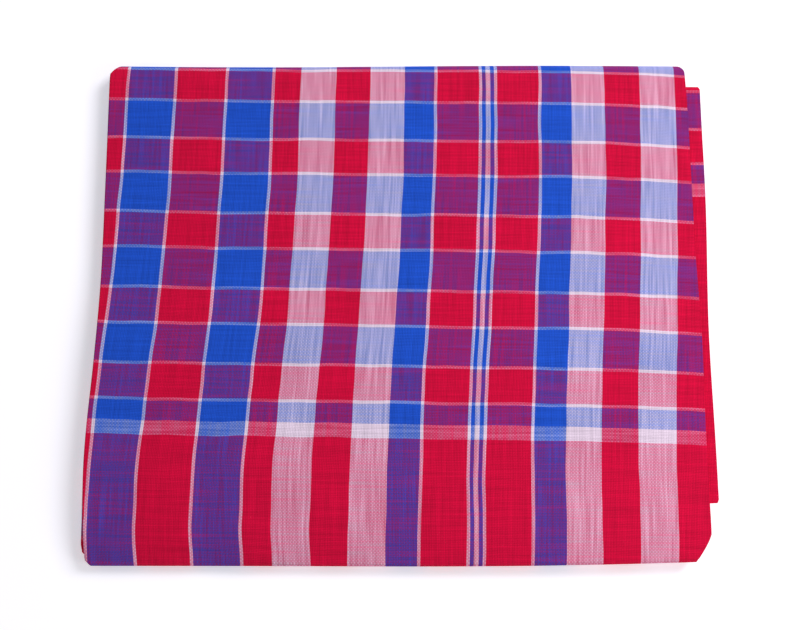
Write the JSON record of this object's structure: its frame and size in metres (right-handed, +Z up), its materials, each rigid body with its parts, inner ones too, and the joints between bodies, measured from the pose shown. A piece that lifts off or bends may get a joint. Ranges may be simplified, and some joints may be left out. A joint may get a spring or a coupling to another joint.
{
  "type": "folded gamcha",
  "caption": "Light checked handloom cotton cloth, doubled along its middle and folded back and forth into a flat pack that lies on a surface.",
  "frame": {"origin": "on the floor, under the middle of the folded pack's box", "axes": "+Z up, +X across the pack from the doubled spine towards the selvedges, +Y from the front folds towards the back folds"},
  "size_m": [0.398, 0.3274, 0.0141],
  "materials": {
    "handloom_cotton": "matt plain-weave cotton in red, blue and white yarn"
  },
  "bodies": {
    "root": {"gamcha": "handloom_cotton"}
  },
  "joints": []
}
